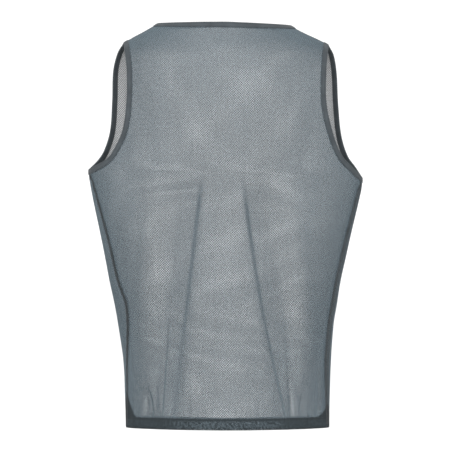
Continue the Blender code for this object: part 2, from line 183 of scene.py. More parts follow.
# Broad swells between the troughs: line, half width and height at both ends
swellColumns = "topX topLevel lowX lowLevel topHalf lowHalf topHeight lowHeight topFade"
swells = {
    "back": (
        (-0.004, -0.23, 0.006, -0.70, 0.036, 0.080, 0.003, 0.006, 0.09),
        (-0.120, -0.29, -0.136, -0.64, 0.024, 0.026, 0.002, 0.002, 0.09),
        (0.118, -0.30, 0.140, -0.69, 0.026, 0.026, 0.002, 0.003, 0.09),
    ),
    "front": (
        (0.002, -0.24, 0.008, -0.70, 0.036, 0.080, 0.002, 0.005, 0.09),
        (0.128, -0.32, 0.138, -0.69, 0.020, 0.018, 0.002, 0.005, 0.09),
        (-0.126, -0.34, -0.134, -0.69, 0.018, 0.020, 0.002, 0.004, 0.09),
    ),
}

# Soft unevenness of hung knit: length of each wave across and down, height, where it starts
ripples = (
    (0.110, 0.310, 0.00110, 0.7),
    (0.047, 0.210, 0.00045, 2.1),
    (0.021, 0.160, 0.00016, 4.4),
    (0.011, 0.095, 0.00006, 1.3),
)
rippleShape = {
    "frontTurn": 2.6,  # the front's waves start elsewhere
    "lean": 0.35,  # how far their lines lean to and fro,
    "leanLength": 1.7,  # over how many waves down
    "leanTurn": 2.5,
    "mean": 0.6,  # height down the cloth, give or take the swing
    "swing": 0.4,
}
pucker = {
    "seam": 0.00030,  # height of the ripple along the side edges
    "hem": 0.00035,
    "reach": 0.0100,  # it dies out over this length
    "waves": ((0.0125, 1.0, 1.7, 41), (0.0083, 0.6, 2.1, 67)),  # length, share, wander
}


def readTable(table, column, level):
    levels, values = table["level"], table[column]
    slopes = np.empty_like(values)
    slopes[1:-1] = (values[2:] - values[:-2]) / (levels[2:] - levels[:-2])
    slopes[0] = (values[1] - values[0]) / (levels[1] - levels[0])
    slopes[-1] = (values[-1] - values[-2]) / (levels[-1] - levels[-2])
    i = np.clip(np.searchsorted(-levels, -level) - 1, 0, len(levels) - 2)
    step = levels[i + 1] - levels[i]
    t = np.clip((level - levels[i]) / step, 0.0, 1.0)
    return (values[i] * (2 * t**3 - 3 * t**2 + 1) + slopes[i] * step * (t**3 - 2 * t**2 + t)
            + values[i + 1] * (3 * t**2 - 2 * t**3) + slopes[i + 1] * step * (t**3 - t**2))


def ease(t):
    t = np.clip(t, 0.0, 1.0)
    return t * t * (3 - 2 * t)


def outlinePoint(side, level, angle):
    left, right = readTable(sections, "left", level), readTable(sections, "right", level)
    back, front = readTable(sections, "back", level), readTable(sections, "front", level)
    overCorner = (angle < 0) | (angle > math.pi)
    onFront = overCorner if side == "back" else ~overCorner
    reach = np.abs(np.sin(angle)) ** readTable(sections, "point", level)
    x = (right - left) / 2 - (left + right) / 2 * np.cos(angle)
    y = np.where(onFront, front * reach, -back * reach)
    z = level - readTable(sections, "droop", level) * (1 - np.cos(angle)) / 2
    return np.stack((x, y, z), axis=-1)


def unit(values):
    return values / np.linalg.norm(values, axis=-1, keepdims=True)


def outward(side, level, angle):
    step = bib["turnStep"]
    along = outlinePoint(side, level, angle + step) - outlinePoint(side, level, angle - step)
    away = np.stack((along[..., 1], -along[..., 0], np.zeros_like(level)), axis=-1)
    return unit(away) * (1 if side == "back" else -1)


def rowsOf(columns, rows):
    return [dict(zip(columns.split(), row)) for row in rows]


def between(row, name, share):
    top, low = row["top" + name], row["low" + name]
    return top + (low - top) * share


# At each level: share of the row's length, length below its top, length above its low end
def alongRow(row, level):
    length = row["topLevel"] - row["lowLevel"]
    t = (row["topLevel"] - level) / length
    return np.clip(t, 0.0, 1.0), t * length, (1 - t) * length


def bowedLine(row, share):
    return between(row, "X", share) + row["bow"] * 4 * share * (1 - share)


def swellHeight(side, x, level):
    height = np.zeros_like(x)
    for swell in rowsOf(swellColumns, swells[side]):
        share, below, _ = alongRow(swell, level)
        tall = between(swell, "Height", share) * ease(below / swell["topFade"])
        away = x - between(swell, "X", share)
        height += tall * np.exp(-(away / between(swell, "Half", share)) ** 2)
    return height


def creaseHeight(side, x, level):
    height = np.zeros_like(x)
    for crease in rowsOf(creaseColumns, creases[side]):
        share, below, _ = alongRow(crease, level)
        away = (x - bowedLine(crease, share)) * crease["inner"]
        steep = 1 - ease(away / between(crease, "Steep", share))
        outside = 1 - np.exp(np.minimum(away, 0.0) / between(crease, "Tail", share))
        fall = between(crease, "Drop", share) * steep + between(crease, "Sink", share) * outside
        fall = fall * (1 - ease((-away - creaseReach["start"]) / creaseReach["over"]))
        height -= fall * ease(below / crease["topFade"])
    return height


def troughHeight(side, x, level):
    height = np.zeros_like(x)
    for trough in rowsOf(troughColumns, troughs[side]):
        share, below, above = alongRow(trough, level)
        deep = between(trough, "Depth", share) * ease(below / trough["topFade"])
        deep = deep * ease(above / trough["lowFade"])
        away = (x - bowedLine(trough, share)) * trough["steepSide"]
        steep = 1 - ease(away / between(trough, "Steep", share) + troughFlanks["early"])
        broad = between(trough, "Broad", share)
        bottom = broad * troughFlanks["round"]
        slow = np.exp(-(np.sqrt(away**2 + bottom**2) - bottom) / broad)
        height -= deep * np.where(away > 0, steep, slow)
    return height


def rippleHeight(side, x, level):
    shape = rippleShape
    turnOver = 0.0 if side == "back" else shape["frontTurn"]
    height = np.zeros_like(x)
    for wide, high, tall, turn in ripples:
        lean = shape["lean"] * np.sin(2 * math.pi * level / (high * shape["leanLength"]) + turn)
        across = np.sin(2 * math.pi * x / wide + turn + turnOver + shape["leanTurn"] * lean)
        down = np.sin(2 * math.pi * level / high + 2 * turn + turnOver)
        height += tall * across * (shape["mean"] + shape["swing"] * down)
    return height


def puckerHeight(along, away, height):
    wave = 0.0
    for length, share, wander, often in pucker["waves"]:
        wave = wave + share * np.sin(2 * math.pi * along / length + wander * np.sin(along * often))
    return height * wave * np.exp(-away / pucker["reach"])


def angleAt(reach, level, hand):
    left, right = readTable(sections, "left", level), readTable(sections, "right", level)
    middle, half = (right - left) / 2, (left + right) / 2
    x = -reach if hand == "left" else reach
    return np.arccos(np.clip((middle - x) / half, -1.0, 1.0))


# The angle at which the outline is a given distance further in
def stepIn(side, level, angle, distance, direction):
    start = outlinePoint(side, level, angle)
    near, far = np.zeros_like(level), np.full_like(level, bib["widestStep"])
    for _ in range(bib["halvings"]):
        middle = (near + far) / 2
        there = outlinePoint(side, level, angle + direction * middle)
        short = np.linalg.norm(there - start, axis=-1) < distance
        near, far = np.where(short, middle, near), np.where(short, far, middle)
    return angle + direction * near


def seamAngle(side, level, hand):
    inset = np.maximum(readTable(sections, "seam" + hand.title(), level), 0.0)
    inset = np.where(level < bib["underarmLevel"], inset, 0.0)
    angle = angleAt(readTable(sections, hand, level) - inset, level, hand)
    if side == "back":
        return angle
    return -angle if hand == "left" else 2 * math.pi - angle


# A panel's edge keeps clear of the other panel's inner face
def seamEdge(side, level, hand):
    inward = {"left": 1, "right": -1}[hand]
    here = outlinePoint(side, level, seamAngle(side, level, hand))
    arms = []
    for panel in ("back", "front"):
        angle = stepIn(panel, level, seamAngle(panel, level, hand), bib["seamArm"], inward)
        arms.append(unit(outlinePoint(panel, level, angle) - here))
    halfTurn = np.arccos(np.clip((arms[0] * arms[1]).sum(axis=-1), -1.0, 1.0)) / 2
    setBack = (bib["seamGap"] / 2 + bib["wall"] * np.cos(halfTurn)) / np.sin(halfTurn)
    return stepIn(side, level, seamAngle(side, level, hand), setBack, inward)


def edgeAngle(side, level, hand):
    levels, places = np.unique(level, return_inverse=True)
    onArmhole = (levels > bib["underarmLevel"]) & (levels < bib["tipLevel"])
    cut = angleAt(readTable(armholes, side + hand.title(), levels), levels, hand)
    angles = np.where(onArmhole, cut, seamEdge(side, levels, hand))
    return angles[places].reshape(level.shape)


# Point of a panel's outer face; across runs 0 to 1 from its left edge to its right
def clothPoint(side, level, across):
    level, across = np.broadcast_arrays(np.asarray(level, float), np.asarray(across, float))
    tip, underarm, hem = bib["tipLevel"], bib["underarmLevel"], bib["hemLevel"]
    spread = across + bib["middleShare"] * np.sin(2 * math.pi * across) / (2 * math.pi)
    first, last = edgeAngle(side, level, "left"), edgeAngle(side, level, "right")
    angle = (math.pi * spread + first * (1 - across) ** bib["edgePull"]
             + (last - math.pi) * across ** bib["edgePull"])
    inMiddle = np.sin(math.pi * across) ** 2
    rise = bib["neckRise"][side] * inMiddle + bib["neckLift"] * (1 - across) ** 2
    rise = rise * ease(1 - level / tip)
    sag = bib["hemSag"][side] * ease((underarm - level) / (underarm - hem)) * inMiddle
    point = outlinePoint(side, level + rise, angle)
    point[..., 2] -= sag
    toLeft = np.linalg.norm(point - outlinePoint(side, level, first), axis=-1)
    toRight = np.linalg.norm(point - outlinePoint(side, level, last), axis=-1)
    fromEdge = np.minimum(toLeft, toRight)
    x = point[..., 0]
    lift = swellHeight(side, x, level) + creaseHeight(side, x, level)
    lift = lift * ease(fromEdge / bib["edgeFade"])
    lift = lift + troughHeight(side, x, level) * ease(fromEdge / bib["troughFade"])
    fine = rippleHeight(side, x, level) * ease(fromEdge / bib["rippleFade"])
    fine = fine * ease(-level / bib["shoulderCalm"])
    fine = fine + puckerHeight(level, fromEdge, pucker["seam"]) * ease(fromEdge / bib["puckerFade"])
    fine = fine + puckerHeight(x, np.abs(level - hem - hemBand["height"]), pucker["hem"])
    return point + outward(side, level + rise, angle) * (lift + fine)[..., None]


def rowLevels():
    tip, underarm, hem = bib["tipLevel"], bib["underarmLevel"], bib["hemLevel"]
    shoulder = np.linspace(0.0, tip, panels["shoulderRows"], endpoint=False)
    t = np.linspace(0.0, 1.0, panels["armholeRows"], endpoint=False)
    crowding = panels["crowding"]
    eased = (1 - crowding) * t + crowding / 2 * (1 - np.cos(math.pi * t))
    armhole = tip + (underarm - tip) * eased
    side = np.linspace(underarm, hem, panels["sideRows"] + 1)
    return np.concatenate((shoulder, armhole, side))


# A grid primitive whose points are set: points[row, column], and lengths for its UV map
def shapedGrid(name, points, runs):
    rows, columns = points.shape[0] - 1, points.shape[1] - 1
    bpy.ops.mesh.primitive_grid_add(x_subdivisions=columns, y_subdivisions=rows, size=2)
    piece = bpy.context.object
    piece.name = name
    mesh = piece.data
    mesh.name = name
    flat = np.empty(len(mesh.vertices) * 3)
    mesh.vertices.foreach_get("co", flat)
    flat = flat.reshape(-1, 3)
    column = np.rint((flat[:, 0] + 1) / 2 * columns).astype(int)
    row = np.rint((1 - flat[:, 1]) / 2 * rows).astype(int)
    mesh.vertices.foreach_set("co", points[row, column].ravel())
    corners = np.empty(len(mesh.loops), dtype=np.int32)
    mesh.loops.foreach_get("vertex_index", corners)
    uv = runs[row[corners], column[corners]]
    mesh.uv_layers.active.data.foreach_set("uv", uv.ravel())
    mesh.update()
    return piece


def lengthsAlong(line):
    steps = np.linalg.norm(np.diff(line, axis=0), axis=1)
    return np.concatenate(([0.0], np.cumsum(steps)))


# Lengths from a grid's middle column and above its last row, for a pattern at real size
def metricRuns(points):
    across = np.linalg.norm(np.diff(points, axis=1), axis=-1)
    u = np.concatenate((np.zeros((len(points), 1)), np.cumsum(across, axis=1)), axis=1)
    middle = points.shape[1] // 2
    u = u - u[:, middle:middle + 1]
    v = lengthsAlong(points[:, middle])
    v = np.broadcast_to((v[-1] - v)[:, None], u.shape)
    return np.stack((u + 1.0, v + 1.0), axis=-1)


def selectOnly(piece):
    bpy.ops.object.select_all(action="DESELECT")
    piece.select_set(True)
    bpy.context.view_layer.objects.active = piece


# slot is not used, and node names the solid that the piece stands for, if any
def finishPiece(piece, slot, node, *materials):
    piece.data.materials.clear()
    for material in materials:
        piece.data.materials.append(material)
    selectOnly(piece)
    bpy.ops.object.shade_smooth()
    piece.select_set(False)
    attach(piece, "root")
    if node:
        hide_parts(node)


def editMesh(piece, *steps):
    selectOnly(piece)
    bpy.ops.object.mode_set(mode="EDIT")
    bpy.ops.mesh.select_all(action="SELECT")
    for step in steps:
        step()
    bpy.ops.object.mode_set(mode="OBJECT")
    piece.select_set(False)


# offset -1 puts the wall inside the sheet, and 0 half on each side
def thicken(piece, thickness, offset):
    solidify = piece.modifiers.new("wall", "SOLIDIFY")
    solidify.thickness = thickness
    solidify.offset = offset
    solidify.use_even_offset = False
    selectOnly(piece)
    bpy.ops.object.modifier_apply(modifier=solidify.name)
    piece.select_set(False)


def addNode(tree, kind, **settings):
    node = tree.nodes.new(kind)
    for name, value in settings.items():
        setattr(node, name, value)
    return node


def setInputs(node, values):
    for name, value in values.items():
        node.inputs[name].default_value = value


def maths(tree, operation, *values):
    node = addNode(tree, "ShaderNodeMath", operation=operation)
    for socket, value in zip(node.inputs, values):
        if isinstance(value, (int, float)):
            socket.default_value = value
        else:
            tree.links.new(value, socket)
    return node.outputs[0]


def mapRange(tree, value, *limits, kind="SMOOTHSTEP"):
    node = addNode(tree, "ShaderNodeMapRange", interpolation_type=kind)
    setInputs(node, dict(zip(("From Min", "From Max", "To Min", "To Max"), limits)))
    tree.links.new(value, node.inputs["Value"])
    return node.outputs["Result"]


def times(tree, first, second):
    return maths(tree, "MULTIPLY", first, second)


# A sine wave along u or v, of a given length
def waveAlong(tree, value, length):
    return maths(tree, "SINE", times(tree, value, 2 * math.pi / length))


# first may be another node's colour; sockets 6 and 7 of a Mix node are its two colours
def mixColours(tree, share, first, second):
    node = addNode(tree, "ShaderNodeMix", data_type="RGBA")
    tree.links.new(share, node.inputs[0])
    if isinstance(first, tuple):
        node.inputs[6].default_value = (*first, 1.0)
    else:
        tree.links.new(first, node.inputs[6])
    node.inputs[7].default_value = (*second, 1.0)
    return node.outputs[2]


def newMaterial(name):
    material = bpy.data.materials.new(name)
    material.use_nodes = True
    tree = material.node_tree
    shader = tree.nodes["Principled BSDF"]
    uv = addNode(tree, "ShaderNodeUVMap", uv_map="UVMap")
    place = addNode(tree, "ShaderNodeSeparateXYZ")
    tree.links.new(uv.outputs["UV"], place.inputs[0])
    return material, tree, shader, uv, place.outputs["X"], place.outputs["Y"]


def noiseAt(tree, uv, scale, detail=2.0, stretch=(1.0, 1.0)):
    mapping = addNode(tree, "ShaderNodeMapping")
    setInputs(mapping, {"Scale": (*stretch, 1.0)})
    noise = addNode(tree, "ShaderNodeTexNoise")
    setInputs(noise, {"Scale": scale, "Detail": detail})
    tree.links.new(uv.outputs["UV"], mapping.inputs["Vector"])
    tree.links.new(mapping.outputs["Vector"], noise.inputs["Vector"])
    return noise.outputs["Fac"]


def finishShader(tree, shader, values, colour, relief):
    tree.links.new(colour, shader.inputs["Base Color"])
    setInputs(shader, values["shader"])
    bump = addNode(tree, "ShaderNodeBump")
    setInputs(bump, values["bump"])
    tree.links.new(relief, bump.inputs["Height"])
    tree.links.new(bump.outputs["Normal"], shader.inputs["Normal"])


net = {
    "pitch": 0.0042,  # rows of holes, each set between those of the other
    "open": -0.60,  # the lower, the larger the holes
    "edge": 0.24,
    "round": 0.5,
    "sheer": (0.43, 0.80),  # what shows through the yarns and through the holes
    "closing": 1.1,  # the higher, the sooner the holes close as it slants away
    "yarn": 0.00042,  # one loop of the knit
    "loopShade": 0.18,
    "patches": (9.0, 3.0, (1.6, 0.5)),
    "dark": (0.066, 0.086, 0.099),
    "light": (0.096, 0.123, 0.141),
    "holeRelief": -0.7,
    "loopRelief": 0.2,
    "bump": {"Strength": 0.5, "Distance": 0.0004},
    "shader": {"Roughness": 0.85, "Specular IOR Level": 0.08, "Sheen Weight": 0.0},
    "foldShadeShare": 0.93,  # how far the painted shade of the folded hem darkens it and closes its holes
    # colour of the painted shade where the folded hem lies behind
    "foldShadeColour": (0.016, 0.020, 0.022),
}
insideNet = {**net, "dark": (0.080, 0.092, 0.100), "light": (0.110, 0.126, 0.137)}
# The turned-up hem layer: the same knit with smaller holes, its colours painted darker as shade
shadedFoldNet = {**net, "open": -0.50, "sheer": (0.0, 0.8), "foldShadeShare": 0.0,
          "dark": (0.018, 0.023, 0.026), "light": (0.038, 0.047, 0.052)}

# Painted shade where the turned-up hem lies behind the cloth: a band, drawn up at its two ends
foldShadeBand = {
    "edge": 0.0009,
    "half": {"back": 0.209, "front": 0.257},
    "left": {"reach": 0.030, "rise": 0.044},
    "right": {"reach": 0.032, "rise": 0.022},
    "drawn": 1.4,  # the higher, the nearer its ends it is drawn up
    "speckle": (230.0, 2.0),
    "speckleRange": (0.38, 0.60),
    "middle": (0.045, 0.125),  # from the first place to the second it gets darker outwards
    "middleLoss": 0.80,
    "endLoss": 0.12,
    "seamed": (0.0140, 0.0150),  # above these the painted shade stays full, where the rows of stitches run
}


# How much painted shade lies on the cloth over the folded hem; speckles lighten it, most in the middle
def foldShadeMask(tree, uv, u, v, side):
    place = maths(tree, "SUBTRACT", u, 1.0)
    over = maths(tree, "SUBTRACT", v, 1.0 + hemBand["height"])
    half = foldShadeBand["half"][side]
    for hand, way in (("left", -1.0), ("right", 1.0)):
        out = times(tree, place, way)
        near = mapRange(tree, out, half - foldShadeBand[hand]["reach"], half, 0.0, 1.0, kind="LINEAR")
        near = maths(tree, "POWER", near, foldShadeBand["drawn"])
        over = maths(tree, "SUBTRACT", over, times(tree, near, foldShadeBand[hand]["rise"]))
    band = mapRange(tree, over, -foldShadeBand["edge"], foldShadeBand["edge"], 1.0, 0.0)
    speckle = noiseAt(tree, uv, *foldShadeBand["speckle"])
    speckle = mapRange(tree, speckle, *foldShadeBand["speckleRange"], 0.0, 1.0)
    middle = mapRange(tree, maths(tree, "ABSOLUTE", place), *foldShadeBand["middle"],
                      foldShadeBand["middleLoss"], foldShadeBand["endLoss"])
    start, end = foldShadeBand["seamed"]
    low = mapRange(tree, v, 1.0 + start, 1.0 + end, 1.0, 0.0)
    loss = times(tree, times(tree, middle, speckle), low)
    return times(tree, band, maths(tree, "SUBTRACT", 1.0, loss))


# Two waves on the slant make rows of holes; where the hem's layer lies behind, the holes close and the
# colour is painted darker as shade
def meshKnit(name, values, side):
    material, tree, shader, uv, u, v = newMaterial(name)
    turns = 2 * math.pi / values["pitch"]
    across, down = times(tree, u, turns), times(tree, v, turns)
    rising = maths(tree, "COSINE", maths(tree, "ADD", across, down))
    falling = maths(tree, "COSINE", maths(tree, "SUBTRACT", across, down))
    hole = maths(tree, "SMOOTH_MIN", rising, falling, values["round"])
    opening, edge = values["open"], values["edge"]
    through = mapRange(tree, hole, opening - edge, opening + edge, *values["sheer"])
    slant = addNode(tree, "ShaderNodeLayerWeight")
    straight = maths(tree, "SUBTRACT", 1.0, slant.outputs["Facing"])
    left = maths(tree, "POWER", straight, values["closing"])
    # painted shade where the folded hem lies behind: it darkens the colour and closes the holes
    paintedFoldShade = times(tree, foldShadeMask(tree, uv, u, v, side), values["foldShadeShare"])
    left = times(tree, left, maths(tree, "SUBTRACT", 1.0, paintedFoldShade))
    yarn = maths(tree, "SUBTRACT", 1.0, times(tree, through, left))
    tree.links.new(yarn, shader.inputs["Alpha"])
    knit = times(tree, waveAlong(tree, u, values["yarn"]), waveAlong(tree, v, values["yarn"]))
    patchy = noiseAt(tree, uv, *values["patches"])
    shade = maths(tree, "ADD", times(tree, knit, values["loopShade"]), patchy)
    cloth = mixColours(tree, shade, values["dark"], values["light"])
    relief = maths(tree, "ADD", times(tree, hole, values["holeRelief"]),
                   times(tree, knit, values["loopRelief"]))
    finishShader(tree, shader, values, mixColours(tree, paintedFoldShade, cloth, values["foldShadeColour"]), relief)
    return material


trim = {
    "rib": 0.0011,
    "loop": 0.00088,
    "bend": 1.1,
    "knitShade": 0.28,
    "worn": (55.0, 3.0),
    "dark": (0.017, 0.021, 0.024),
    "light": (0.054, 0.064, 0.071),
    "bump": {"Strength": 0.45, "Distance": 0.00025},
    "shader": {"Roughness": 0.80, "Specular IOR Level": 0.15, "Sheen Weight": 0.08},
}


def trimKnit(name, values):
    material, tree, shader, uv, u, v = newMaterial(name)
    ribs = waveAlong(tree, v, values["rib"])
    slant = maths(tree, "ADD", times(tree, u, 2 * math.pi / values["loop"]),
                  times(tree, ribs, values["bend"]))
    knit = times(tree, maths(tree, "ADD", ribs, maths(tree, "SINE", slant)), 0.5)
    worn = noiseAt(tree, uv, *values["worn"])
    shade = maths(tree, "ADD", times(tree, knit, values["knitShade"]), worn)
    colour = mixColours(tree, shade, values["dark"], values["light"])
    finishShader(tree, shader, values, colour, knit)
    return material


overlock = {
    "wrap": 0.0021,  # spacing of the thread's turns round the edge
    "lean": 0.45,
    "twist": 0.0007,
    "twistRelief": 0.2,
    "wrapShade": (-0.6, 1.0, 0.0, 0.55),
    "speckle": (420.0, 2.0),
    "speckleShade": 0.35,
    "dark": (0.012, 0.015, 0.017),
    "light": (0.045, 0.053, 0.058),
    "bump": {"Strength": 0.6, "Distance": 0.0003},
    "shader": {"Roughness": 0.70, "Specular IOR Level": 0.35, "Sheen Weight": 0.20},
}


def overlockThread(name, values):
    material, tree, shader, uv, u, v = newMaterial(name)
    lean = maths(tree, "ADD", u, times(tree, v, values["lean"]))
    wraps = waveAlong(tree, lean, values["wrap"])
    twist = waveAlong(tree, v, values["twist"])
    relief = maths(tree, "ADD", wraps, times(tree, twist, values["twistRelief"]))
    speckle = noiseAt(tree, uv, *values["speckle"])
    shade = maths(tree, "ADD", mapRange(tree, wraps, *values["wrapShade"]),
                  times(tree, speckle, values["speckleShade"]))
    colour = mixColours(tree, shade, values["dark"], values["light"])
    finishShader(tree, shader, values, colour, relief)
    return material


thread = {
    "ply": 0.0005,
    "lean": 0.6,
    "dark": (0.008, 0.010, 0.011),
    "light": (0.026, 0.031, 0.034),
    "bump": {"Strength": 0.4, "Distance": 0.0001},
    "shader": {"Roughness": 0.75, "Specular IOR Level": 0.20, "Sheen Weight": 0.05},
}


def sewingThread(name, values):
    material, tree, shader, _, u, v = newMaterial(name)
    lean = maths(tree, "ADD", u, times(tree, v, values["lean"]))
    ply = waveAlong(tree, lean, values["ply"])
    shade = mapRange(tree, ply, -1.0, 1.0, 0.0, 1.0)
    colour = mixColours(tree, shade, values["dark"], values["light"])
    finishShader(tree, shader, values, colour, ply)
    return material


clothMaterials = {
    side: (meshKnit(side + "Knit", net, side), meshKnit(side + "KnitInside", insideNet, side))
    for side in ("back", "front")
}
# the turned-up hem's knit, its colours painted darker as shade
shadedFoldMaterial = meshKnit("shadedFoldKnit", shadedFoldNet, "back")
trimMaterial = trimKnit("trimKnit", trim)
overlockMaterial = overlockThread("overlockThread", overlock)
threadMaterial = sewingThread("sewingThread", thread)
print("materials made")

# Each panel's outer face, for the bindings, seams and threads that lie on it
surfaces = {}


def makePanel(side):
    across = np.linspace(0.0, 1.0, panels["columns"] + 1)
    points = clothPoint(side, rowLevels()[:, None], across[None, :])
    piece = shapedGrid(side + "Cloth", points, metricRuns(points))
    if side == "front":
        editMesh(piece, bpy.ops.mesh.flip_normals)
    mesh = piece.data
    corners = [tuple(face.vertices) for face in mesh.polygons]
    surfaces[side] = {
        "tree": BVHTree.FromPolygons([v.co.copy() for v in mesh.vertices], corners),
        "corners": corners,
        "places": [v.co.copy() for v in mesh.vertices],
        "normals": [v.normal.copy() for v in mesh.vertices],
    }
    area = sum(face.area for face in mesh.polygons)
    faces = len(mesh.polygons)
    thicken(piece, bib["wall"], -1.0)
    finishPiece(piece, "mesh_knit", side + "_panel", *clothMaterials[side])
    inside = np.zeros(len(piece.data.polygons), dtype=np.int32)
    inside[faces:2 * faces] = 1
    piece.data.polygons.foreach_set("material_index", inside)
    print(side, "panel made:", round(area, 3), "m2")
    return piece


backCloth = makePanel("back")
frontCloth = makePanel("front")


def nearestOn(point, sides=("back", "front")):
    found = [surfaces[side]["tree"].find_nearest(point) + (side,) for side in sides]
    place, _, index, _, side = min(found, key=lambda hit: hit[3])
    surface = surfaces[side]
    corners = surface["corners"][index]
    shares = poly_3d_calc([surface["places"][corner] for corner in corners], place)
    out = sum((surface["normals"][corner] * share for corner, share in zip(corners, shares)),
              Vector())
    return place, out.normalized()


def alongLine(values, runs, places):
    return np.stack([np.interp(places, runs, values[:, axis]) for axis in range(3)], axis=1)


def spacedLine(points, step, closed=False):
    if closed:
        points = np.concatenate((points, points[:1]))
    runs = lengthsAlong(points)
    count = max(int(round(runs[-1] / step)), 2)
    spaced = alongLine(points, runs, np.linspace(0.0, runs[-1], count + 1))
    return spaced[:-1] if closed else spaced


def smoothed(values, closed, rounds):
    for _ in range(rounds):
        if closed:
            before, after = np.roll(values, 1, axis=0), np.roll(values, -1, axis=0)
        else:
            before = np.concatenate((values[:1], values[:-1]))
            after = np.concatenate((values[1:], values[-1:]))
        values = (before + 2 * values + after) / 4
    return values


upwards = np.array([0.0, 0.0, 1.0])


# Frames along a line on the cloth: place, way into the panel (roughly towards hint) and way out
def layFrames(line, hint, sides=("back", "front"), closed=False, softness=6):
    if closed:
        along = np.roll(line, -1, axis=0) - np.roll(line, 1, axis=0)
    else:
        along = np.gradient(line, axis=0)
    out = np.array([nearestOn(Vector(point), sides)[1] for point in line])
    out = unit(smoothed(out, closed, softness))
    along = unit(smoothed(along, closed, 2))
    into = np.cross(out, along)
    into = unit(into) * np.sign((into * hint).sum(axis=1))[:, None]
    out = unit(out - (out * along).sum(axis=1)[:, None] * along)
    return {"line": line, "into": into, "out": out, "sides": sides, "closed": closed}


# Points this far into the panel along its outer face, and this far out of it
def spotsAt(frames, into, out):
    into = np.broadcast_to(into, len(frames["line"]))
    out = np.broadcast_to(out, len(frames["line"]))
    spots = frames["line"] + frames["into"] * into[:, None]
    for i in np.nonzero(into > 0)[0]:
        spots[i] = nearestOn(Vector(spots[i]), frames["sides"])[0]
    return spots + frames["out"] * out[:, None]


# A closed profile of (into, out) offsets carried along the frames
def sweepStrip(name, node, frames, profile, material):
    columns = [spotsAt(frames, into, out) for into, out in profile]
    columns.append(columns[0])
    points = np.stack(columns, axis=0)
    line = frames["line"]
    if frames["closed"]:
        points = np.concatenate((points, points[:, :1]), axis=1)
        line = np.concatenate((line, line[:1]))
    u = lengthsAlong(line)
    flat = np.array([[np.mean(into), np.mean(out)] for into, out in profile])
    v = lengthsAlong(np.concatenate((flat, flat[:1])))
    runs = np.stack(np.broadcast_arrays(u[None, :], v[:, None]), axis=-1)
    piece = shapedGrid(name, points, runs)
    steps = [lambda: bpy.ops.mesh.remove_doubles(threshold=0.000002)]
    if not frames["closed"]:
        steps.append(lambda: bpy.ops.mesh.fill_holes(sides=0))
    steps.append(lambda: bpy.ops.mesh.normals_make_consistent(inside=False))
    editMesh(piece, *steps)
    finishPiece(piece, "binding_knit", node, material)
    return piece


binding = {
    "width": 0.0088,
    "wall": 0.0008,
    "gap": 0.00025,
    "over": 0.0009,  # how far the fold stands past the cloth's edge
    "step": 0.0018,
    "neckSteps": 240,
    "legSteps": 9,
    "turnSteps": 6,
    "puff": 0.00035,
    "puffShape": 0.6,
    "innerPuff": 0.5,  # the inner leg's share of it
    "stitchRows": (0.0018, 0.0072),
    "dip": 0.00022,
    "dipHalf": 0.0007,
}


def outerPuff(into):
    share = min(into / binding["width"], 1.0)
    return binding["puff"] * math.sin(math.pi * share) ** binding["puffShape"]


# A strip folded over the edge: outer leg, turn and inner leg, puffed between its stitch rows
def bindingProfile():
    width, legSteps, turnSteps = binding["width"], binding["legSteps"], binding["turnSteps"]
    middleOut = binding["gap"] + binding["wall"] / 2
    middleIn = -bib["wall"] - middleOut
    centre, radius = (middleOut + middleIn) / 2, (middleOut - middleIn) / 2
    path = []
    for i in range(legSteps + 1):
        s = width * (1 - i / legSteps)
        puff = outerPuff(s)
        for row in binding["stitchRows"]:
            puff -= binding["dip"] * math.exp(-((s - row) / binding["dipHalf"]) ** 2)
        path.append((s, middleOut + puff))
    for i in range(1, turnSteps):
        turn = math.pi * i / turnSteps
        path.append((-binding["over"] * math.sin(turn), centre + radius * math.cos(turn)))
    for i in range(legSteps + 1):
        s = width * i / legSteps
        puff = binding["puff"] * binding["innerPuff"] * math.sin(math.pi * s / width)
        path.append((s, middleIn - puff))
    path = np.array(path)
    tangent = unit(np.gradient(path, axis=0))
    side = np.stack((tangent[:, 1], -tangent[:, 0]), axis=1) * binding["wall"] / 2
    return np.concatenate((path + side, (path - side)[::-1]))


stitch = {
    "length": 0.0027,
    "pitch": 0.0034,
    "thick": 0.00050,
    "bend": 0.00022,
    "proud": 0.2,  # share of its thickness above the binding's dip
    "sides": 6,
    "rings": 5,
    "turn": 0.003,  # each stitch shows the thread a little further on
}
ladder = {
    "first": {"left": -0.0028, "right": -0.0050, "rightOuter": -0.0150, "shoulder": -0.0022},
    "last": {"left": 0.0054, "right": 0.0064, "rightOuter": -0.0046, "shoulder": 0.0062},
    "thick": {"left": 0.00098, "right": 0.00098, "rightOuter": 0.00078, "shoulder": 0.00090},
    "pitch": 0.0011,
    "lean": 0.0009,
    "lift": 0.0001,
    "bend": -0.0002,
}


